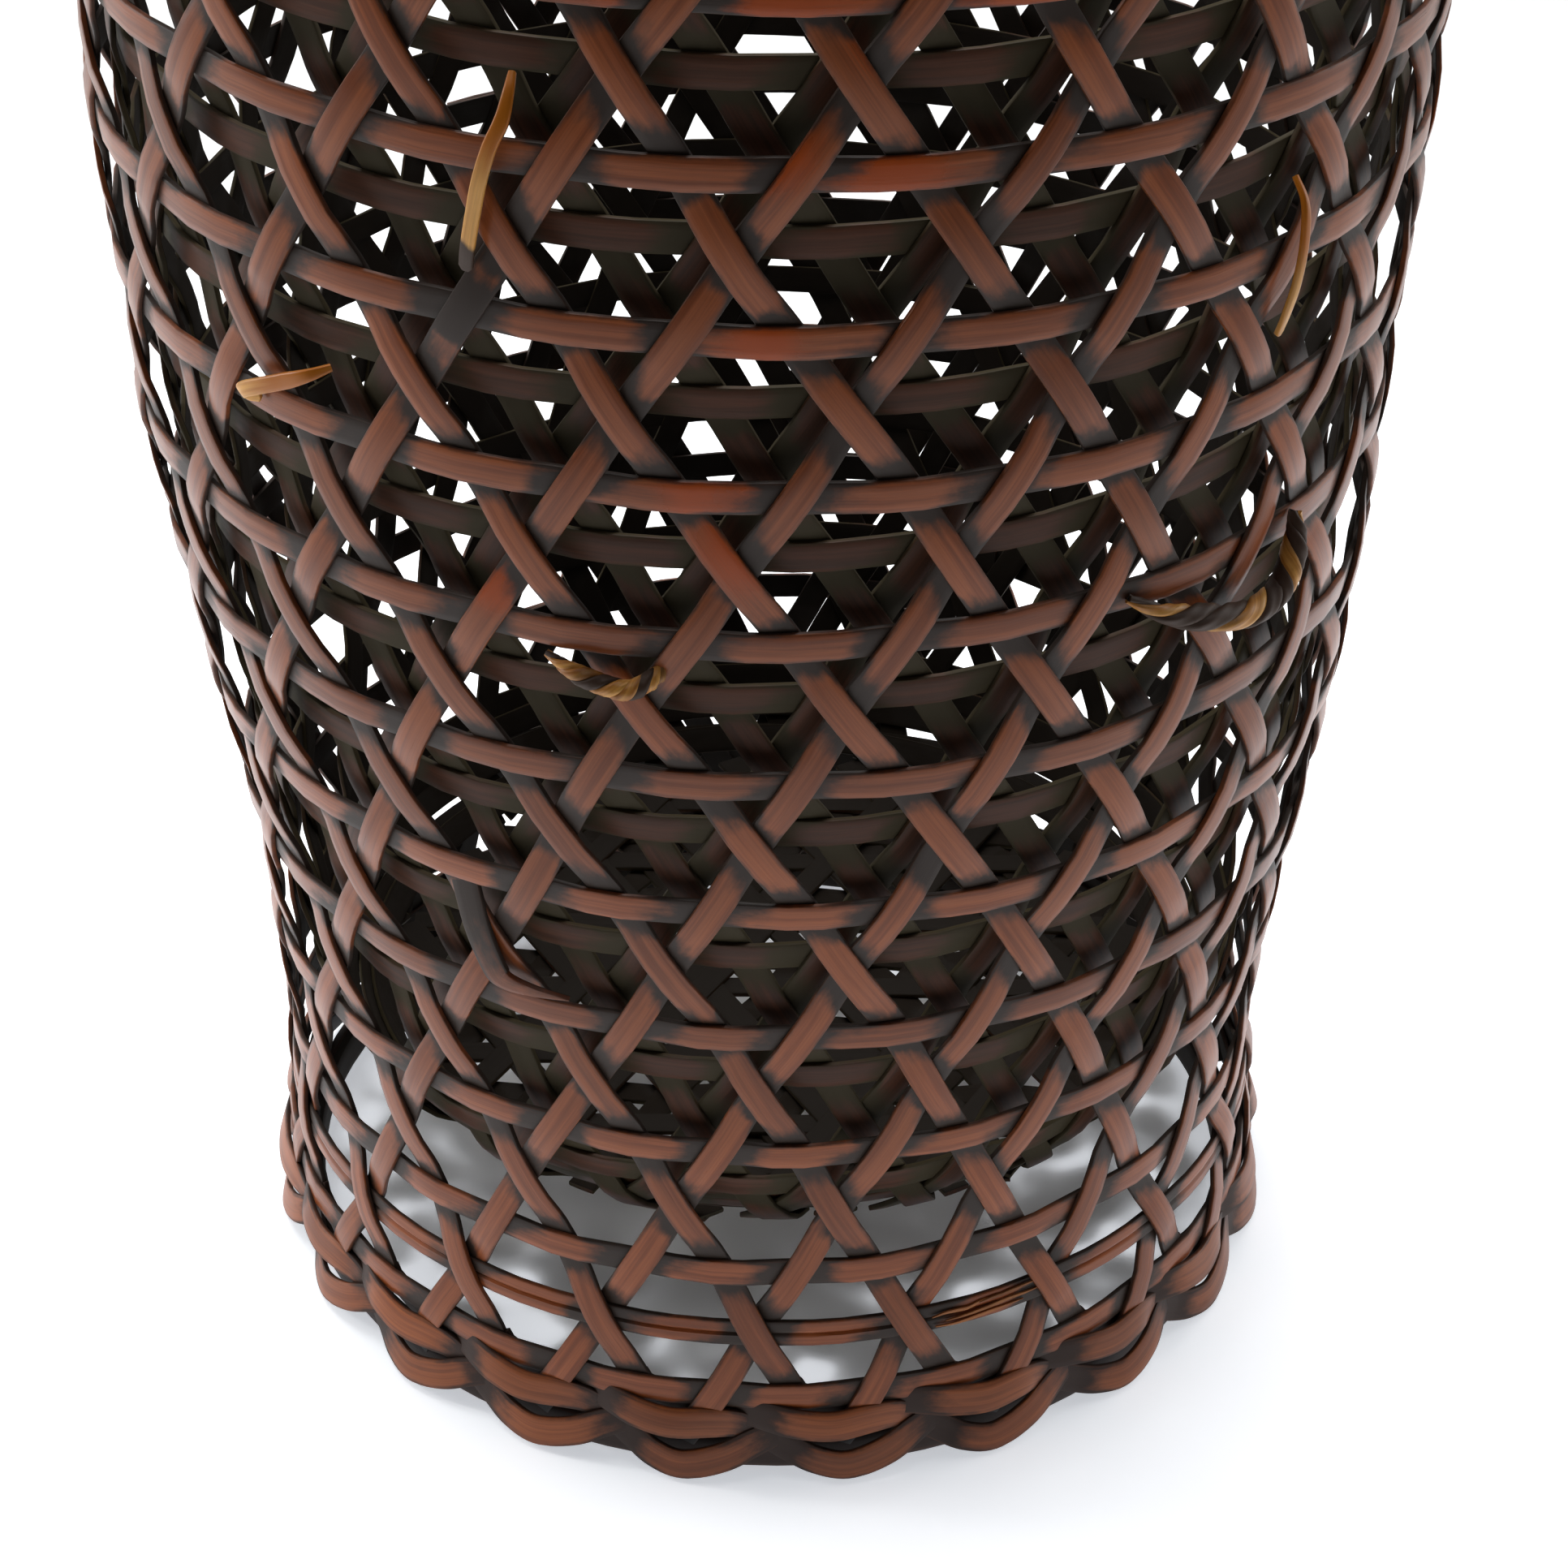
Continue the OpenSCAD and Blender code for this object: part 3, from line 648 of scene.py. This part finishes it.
inner_wall = {
    "turn": math.radians(13.4),
    "sway": lambda angle: np.radians(0.25 + 1.22 * np.sin(angle) - 0.72 * np.sin(angle) ** 2
                                     + back_sway * np.clip(-np.cos(angle), 0, 1)),
    "radius": lambda height: smooth(height, corner_heights, corner_radii),
    "height": inner_height,
    "spread": 1.5,
    "pools": {1: [], -1: [], 0: []},
    "spots": {1: [], -1: [], 0: []},
}
for hand, side_name in ((1, "right"), (-1, "left")):
    row = np.linspace(first_inner_row - turn_in_rows, len(rows) - last_gap, inner_strand_rings)
    strips = [weave_strand(hand, index, inner_wall, row, blank_strip(inner_strand_rings),
                           np.random.default_rng(3000 + 100 * hand + index))
              for index in range(strand_count)]
    gather(strips, f"inner_strips_{side_name}", shaded_inner_bamboo, [f"inner_{side_name}_strands"])
for row, name in enumerate(inner_hoop_names):
    hoop = weave_hoop(row + first_inner_row, inner_wall, blank_strip(hoop_rings),
                      np.random.default_rng(4000 + row))
    gather([hoop], f"inner_band_{row + 1:02d}", shaded_inner_bamboo, [name])

# Three close bands line the rounded corner, where the wall turns in to the bottom
lining = []
for k, share in enumerate((0.18, 0.47, 0.76)):
    rng = np.random.default_rng(4500 + k)
    angle = np.linspace(0.7 * k, 0.7 * k + math.tau + 0.1, lining_rings)
    height = np.full(lining_rings, base_top + rise * share) + wander(rng, lining_rings, 20, 0.3 * MM)
    middle, out = on_wall(angle, height, np.linspace(-1.9, -1.6, lining_rings) * MM, inner_wall["radius"])
    lining.append(lay_strip(blank_strip(lining_rings), middle, out, rng,
                            range(5, lining_rings, 10), spread=0.6))
gather(lining, "corner_bands", shaded_inner_bamboo, [])


# ---- Bottom ------------------------------------------------------------------------------------
# Seven strips cross the bottom in each of three directions, each over one of the other two and
# under the other. A hoop holds their ends at the bottom's edge.
base_spacing = 21.5 * MM
base_count = 7
base_rings = 90
# No strip passes through the centre, so three strips never cross at one place
base_offset = 1 / 6
base_bend = 0.62 * MM
base_bend_reach = 7 * MM
low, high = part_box("base_strips_2")
base_level = (low.z + high.z) / 2
# The bottom has the inner wall's dark bamboo, partly painted shade
for n in range(3):
    own_turn = math.radians(120 * n)
    strips = []
    for k in range(2 * base_count - 1):
        # Every second strip is a later one, pushed through the openings above the others
        sideways = (k / 2 - 3 + base_offset) * base_spacing
        reach = math.sqrt(base_radius ** 2 - sideways ** 2) - (k % 2) * 2 * MM
        x = np.linspace(-reach, reach, base_rings)
        level = np.full(base_rings, (k % 2) * (1.3 + 0.45 * n) * MM)
        covers = []
        for other in (1, 2):
            lean = math.radians(120 * other)
            for j in range(base_count):
                meet = ((j - 3 + base_offset) * base_spacing - sideways * math.cos(lean)) / -math.sin(lean)
                if abs(meet) > reach or k % 2:
                    continue
                bend = ease(np.clip(1 - np.abs(x - meet) / base_bend_reach, 0, 1))
                level = level + bend * (base_bend if other == 1 else -base_bend)
                if other == 1:
                    covers.append((meet + reach) / (2 * reach) * (base_rings - 1))
        middle = np.stack([x * math.cos(own_turn) - sideways * math.sin(own_turn),
                           x * math.sin(own_turn) + sideways * math.cos(own_turn),
                           base_level + level], -1)
        down = np.tile([0, 0, -1.0], (base_rings, 1))
        strips.append(lay_strip(blank_strip(base_rings), middle, down,
                                np.random.default_rng(5000 + 10 * n + k), covers))
    gather(strips, f"bottom_strips_{n + 1}", shaded_inner_bamboo, [f"base_strips_{n + 1}"])

# The hoop at the edge slopes with the corner; its ends lap by a fifth of a radian
edge_rings = 200
low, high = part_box("base_hoop")
edge_height = (low.z + high.z) / 2
edge_radius = high.x - 0.35 * strip_width
angle = np.linspace(0.4, 0.4 + math.tau + 0.2, edge_rings)
middle, out = on_wall(angle, np.full(edge_rings, edge_height), 0.5 * MM * np.linspace(-1, 1, edge_rings),
                      lambda height: edge_radius + 0.8 * (height - edge_height))
edge_hoop = lay_strip(blank_strip(edge_rings), middle, out, np.random.default_rng(5100), stain_and_shade_given=0.3)
gather([edge_hoop], "bottom_edge_band", shaded_inner_bamboo, ["base_hoop"])


# ---- Plaited foot ------------------------------------------------------------------------------
# Below the lowest hoop each left strand turns along the foot and is plaited with its neighbours:
# out over the next right strand, behind the next tail, out again lower down, and tucked away.
# A ring stands inside the plait. More orange shows here, where it is handled.
foot_bamboo = stained_bamboo("stained bamboo, foot", light="#95522b", deep="#7a4020",
                             glossy="#a04a12", ends="#33221a", raw="#94501f", gloss=0.3)
tail_rings = 110
# A tail's course, point by point: pitches along, millimetres up and out, degrees of tilt, and stain with
# painted shade where it passes behind
tail_pitches = (-0.02, 0.05, 0.25, 0.62, 0.85, 1.02, 1.25, 1.5, 1.66, 1.8, 1.98, 2.14, 2.34, 2.58, 2.78,
                2.98)
tail_heights = (21.0, 18.2, 15.8, 15.4, 15.2, 14.4, 13.3, 13.6, 12.6, 9.8, 6.4, 4.6, 3.9, 5.9, 8.8, 11.2)
tail_offs = (-0.9, -1.2, -1.6, -1.1, 0.9, 1.9, 2.1, 1.4, 0.2, -0.9, -0.3, 1.2, 2.2, 1.7, 0.2, -1.5)
tail_tilts = (0, 0, 2, 4, 8, 13, 15, 10, 4, 0, 2, 7, 10, 8, 3, 0)
tail_stain_and_shade = (1, 1, 1, 0.9, 0.55, 0.1, 0, 0, 0.4, 0.85, 0.7, 0.25, 0, 0, 0.4, 0.9)
knot = np.linspace(0, len(tail_pitches) - 1, tail_rings)
knots = np.arange(len(tail_pitches))
tails = []
for index in range(strand_count):
    rng = np.random.default_rng(6000 + index)
    start = outer_wall["turn"] + pitch * (index + 1)
    angle = start + pitch * smooth(knot, knots, tail_pitches) + wander(rng, tail_rings, 30, 0.004)
    height = MM * smooth(knot, knots, tail_heights) + wander(rng, tail_rings, 25, 0.2 * MM)
    middle, out = on_wall(angle, height, MM * smooth(knot, knots, tail_offs), outer_radius)
    tilt = np.radians(smooth(knot, knots, tail_tilts))[:, None]
    out = out * np.cos(tilt) + np.array([0, 0, 1.0]) * np.sin(tilt)
    stain_and_shade = np.clip(smooth(knot + rng.uniform(-0.3, 0.3), knots, tail_stain_and_shade), 0, 1)
    tails.append(lay_strip(blank_strip(tail_rings), middle, out, rng, narrow=1.08, stain_and_shade_given=stain_and_shade))
gather(tails, "foot_plait", foot_bamboo, ["foot_braid_1", "foot_braid_2", "foot_braid_3"])

foot_ring_rings = 150
core_width = 4 * MM
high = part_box("foot_core")[1]
ring_radius = high.x - core_width / 2
angle = np.linspace(2.0, 2.0 + math.tau, foot_ring_rings)
middle = np.stack([ring_radius * np.sin(angle), -ring_radius * np.cos(angle),
                   np.full(foot_ring_rings, high.z / 2)], -1)
out = np.stack([np.sin(angle), -np.cos(angle), 0 * angle], -1)
core = lay_strip(blank_strip(foot_ring_rings, high.z, core_width, 1.1 * MM, 0.1 * MM), middle, out,
                 np.random.default_rng(6100), stain_and_shade_given=0.95)
gather([core], "foot_ring", foot_bamboo, ["foot_core"])


# ---- Rim ---------------------------------------------------------------------------------------
# Two broad hoops, stained as the wall is, hold the strands' ends between them, over a core, and
# pairs of rattan turns lash all three together through the openings of the weave.
rim_width = 12 * MM
rim_thickness = 1.8 * MM
lashing_width = 3.6 * MM
lashing_thickness = 0.9 * MM
rim_rings = 300
rim_core_rings = 240
wrap_rings = 64
joint = 0.001
rim_bamboo = stained_bamboo("stained bamboo, rim", light="#914e29", deep="#763a19", glossy="#a34409",
                            ends="#2e2119", raw="#94501f", width=rim_width)
first_lashing = outer_wall["turn"] + pitch * ((len(rows) - 1.5) / 2 + 0.5)
for name, node_name, inside in (("rim_outside", "rim_outer_hoop", 0), ("rim_inside", "rim_inner_hoop", 1)):
    low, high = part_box(node_name)
    r = high.x - rim_thickness / 2
    start = first_lashing + 0.15 * pitch
    angle = np.linspace(start, start + math.tau - joint, rim_rings)
    middle = np.stack([r * np.sin(angle), -r * np.cos(angle), np.full(rim_rings, (low.z + high.z) / 2)], -1)
    out = np.stack([np.sin(angle), -np.cos(angle), 0 * angle], -1) * (-1 if inside else 1)
    covers = [(rim_rings - 1.0) * k / strand_count for k in range(strand_count + 1)]
    hoop = lay_strip(blank_strip(rim_rings, rim_width, rim_thickness, 0.5 * MM, 0.2 * MM), middle, out,
                     np.random.default_rng(7000 + inside), covers, spread=0.5)
    gather([hoop], name, rim_bamboo, [node_name])

low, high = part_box("rim_core")
core_outside = high.x
core_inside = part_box("rim_inner_hoop")[1].x
core_width = core_outside - core_inside
r = (core_outside + core_inside) / 2
start = first_lashing - 0.15 * pitch
angle = np.linspace(start, start + math.tau - joint, rim_core_rings)
middle = np.stack([r * np.sin(angle), -r * np.cos(angle), np.full(rim_core_rings, (low.z + high.z) / 2)],
                  -1)
core = lay_strip(blank_strip(rim_core_rings, core_width, high.z - low.z, 1.2 * MM, 0.1 * MM), middle,
                 np.tile([0, 0, 1.0], (rim_core_rings, 1)), np.random.default_rng(7010), stain_and_shade_given=0.2)
gather([core], "rim_filling", rim_bamboo, ["rim_core"])

# The lashing presses a little into the outer hoop
wrap_press = 0.12 * MM
rim_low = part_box("rim_outer_hoop")[0].z - lashing_thickness / 2
rim_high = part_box("rim_outer_hoop")[1].z + lashing_thickness / 2 - wrap_press
wrap_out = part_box("rim_outer_hoop")[1].x + lashing_thickness / 2 - wrap_press
wrap_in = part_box("rim_inner_hoop")[1].x - rim_thickness - lashing_thickness / 2
half_wide = (wrap_out - wrap_in) / 2
half_high = (rim_high - rim_low) / 2
wrap_slant = 0.012


def wrap_turn(angle, rng):
    """One turn of the lashing, round the rim's section and back to where it began."""
    t = np.linspace(0, math.tau, wrap_rings) + math.pi
    # A rounded rectangle, as the place where a ray from the middle leaves it
    power = 7.0
    reach = np.abs(np.cos(t) / half_wide) ** power + np.abs(np.sin(t) / half_high) ** power
    reach = reach ** (-1 / power)
    wide = reach * np.cos(t)
    tall = reach * np.sin(t)
    facing_wide = np.sign(wide) * np.abs(wide / half_wide) ** (power - 1) / half_wide
    facing_tall = np.sign(tall) * np.abs(tall / half_high) ** (power - 1) / half_high
    size = np.hypot(facing_wide, facing_tall)
    turned = angle + wrap_slant * np.linspace(-0.5, 0.5, wrap_rings)
    r = (wrap_in + wrap_out) / 2 + wide
    middle = np.stack([r * np.sin(turned), -r * np.cos(turned), (rim_low + rim_high) / 2 + tall], -1)
    out = np.stack([facing_wide / size * np.sin(turned), -facing_wide / size * np.cos(turned),
                    facing_tall / size], -1)
    blank = blank_strip(wrap_rings, lashing_width, lashing_thickness, 0.22 * MM, 0.08 * MM)
    return lay_strip(blank, middle, out, rng)


# Rattan took no stain: it is golden and glossier than the bamboo, dark only where it is tucked in, which is
# painted shade
rattan = stained_bamboo("varnished rattan", light="#d69c4c", deep="#ac6c28", glossy="#b06410",
                        ends="#3a2618", raw="#e0ac66", width=lashing_width, gloss=0.34, shine=0.5)
wraps = [wrap_turn(first_lashing + pitch * (index + side * 0.14), np.random.default_rng(7100 + index))
         for index in range(strand_count) for side in (-1, 1)]
gather(wraps, "rim_wrapping", rattan, ["rim_lashing"])


# ---- Ties --------------------------------------------------------------------------------------
# Bits of rattan tie the two walls together here and there: three are flat strips tucked in behind
# the weave, and two are cords twisted of golden and dark strands.
flat_tie_rings = 48
flat_tie_thickness = 0.9 * MM
cord_rings = 120
cord_turns = 3.2


def route(points, count):
    """A tie's course over the outer wall: angle, row and stand-off at each point."""
    knots = np.arange(len(points))
    knot = np.linspace(0, len(points) - 1, count)
    angle, row, off = (smooth(knot, knots, values) for values in zip(*points))
    return on_wall(np.radians(angle), outer_wall["height"](row), off * MM, outer_radius)


# Name, width in millimetres, rings that are dark below a strip, which is painted shade, and the course
flat_ties = (
    ("long_tie", 2.3, [46],
     ((-17.8, 9.46, -0.5), (-17.7, 9.38, 1.8), (-17.9, 9.25, 3.6), (-18.7, 9.1, 4.4),
      (-19.5, 8.9, 4.6), (-20.2, 8.69, 4), (-20.9, 8.47, 3.2), (-21.5, 8.3, 1.6))),
    ("thin_tie", 1.7, [],
     ((45.7, 8.45, -0.5), (45.3, 8.33, 2.6), (45, 8.11, 3.8), (44.7, 7.86, 3.8), (44.6, 7.65, 2.8),
      (45.4, 7.45, 0.5))),
    ("short_tie", 2.6, [],
     ((-35.6, 7.38, -0.5), (-36.8, 7.35, 2.4), (-39.4, 7.26, 3.2), (-42.6, 7.15, 3.8),
      (-44, 7.09, 3.6), (-44.2, 7.05, 2.4), (-43.2, 7.05, 1.4))),
)
for name, width, covers, points in flat_ties:
    middle, out = route(points, flat_tie_rings)
    blank = blank_strip(flat_tie_rings, width * MM, flat_tie_thickness, 0.25 * MM, 0.12 * MM)
    strip = lay_strip(blank, middle, out, np.random.default_rng(8000 + int(width * 10)), covers,
                      pools=[(*middle[12], 13 * MM)], spread=0.4,
                      narrow=np.interp(np.arange(flat_tie_rings), (0, 14, 46, 47), (0.45, 1, 1, 0.6)))
    gather([strip], name.replace("_tie", "_rattan_strip"), rattan, [name])

# Name, width in millimetres, the darkness of each of the three strands, and the course
cords = (
    ("small_cord_tie", 3.4, (0.0, 0.75, 0.3),
     ((-17.3, 5.86, 1), (-15, 5.82, 3), (-12.6, 5.77, 3.6), (-10.3, 5.75, 3.8), (-8.7, 5.79, 2.2),
      (-7.9, 5.82, 0.2), (-7.4, 5.85, -1.2))),
    ("large_cord_tie", 4.6, (0.15, 0.85, 0.65),
     ((31.5, 6.0, 1), (34.7, 5.86, 3), (38.8, 5.75, 4), (43.4, 5.65, 4.6), (46.9, 5.67, 4.6),
      (48.7, 5.78, 4.4), (50, 5.95, 3.6), (50.6, 6.1, 2))),
)
for name, width, dark, points in cords:
    middle, out = route(points, cord_rings)
    ahead = np.gradient(middle, axis=0)
    ahead /= np.linalg.norm(ahead, axis=1)[:, None]
    side = np.cross(ahead, out)
    swell = np.clip(np.linspace(0.35, 3, cord_rings), 0, 1) * np.clip(np.linspace(3, 0.5, cord_rings), 0, 1)
    strand_thickness = width * 0.42 * MM
    blank = blank_strip(cord_rings, width * 0.62 * MM, strand_thickness, 0.3 * strand_thickness, 0.1 * MM)
    strands = []
    for k in range(3):
        turn = np.linspace(0, math.tau * cord_turns, cord_rings) + math.tau * k / 3
        away = side * np.cos(turn)[:, None] + out * np.sin(turn)[:, None]
        course = middle + away * (swell * width * 0.26 * MM)[:, None]
        strands.append(lay_strip(blank, course, away, np.random.default_rng(8100 + k),
                                 narrow=swell, thin=swell, stain_and_shade_given=dark[k]))
    gather(strands, name.replace("_tie", ""), rattan, [name])
